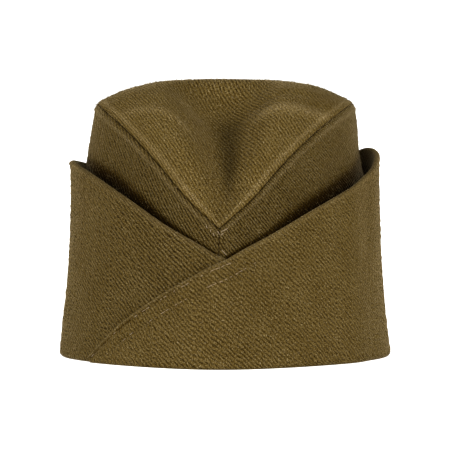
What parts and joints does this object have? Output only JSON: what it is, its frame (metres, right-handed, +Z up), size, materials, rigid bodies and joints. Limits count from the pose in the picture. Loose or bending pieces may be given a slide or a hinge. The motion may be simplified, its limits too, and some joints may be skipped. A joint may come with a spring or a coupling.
{
  "type": "forage cap",
  "caption": "Folded wool side cap: wedge-shaped crown with a dented top panel, inside a tall turn-up whose flaps lap diagonally across the front.",
  "frame": {"origin": "centre of the cap's box, on the surface that the rim rests on", "axes": "+Z up out of the crown, -Y towards the front where the flaps lap, +X to the right as seen from the front"},
  "size_m": [0.1736, 0.2181, 0.1449],
  "materials": {
    "crown_wool": "matt wool twill",
    "top_wool": "matt wool twill",
    "curtain_wool": "matt wool twill"
  },
  "bodies": {
    "root": {"side_panel_left": "crown_wool", "side_panel_right": "crown_wool", "top_panel": "top_wool", "curtain_left": "curtain_wool", "curtain_right": "curtain_wool"}
  },
  "joints": []
}
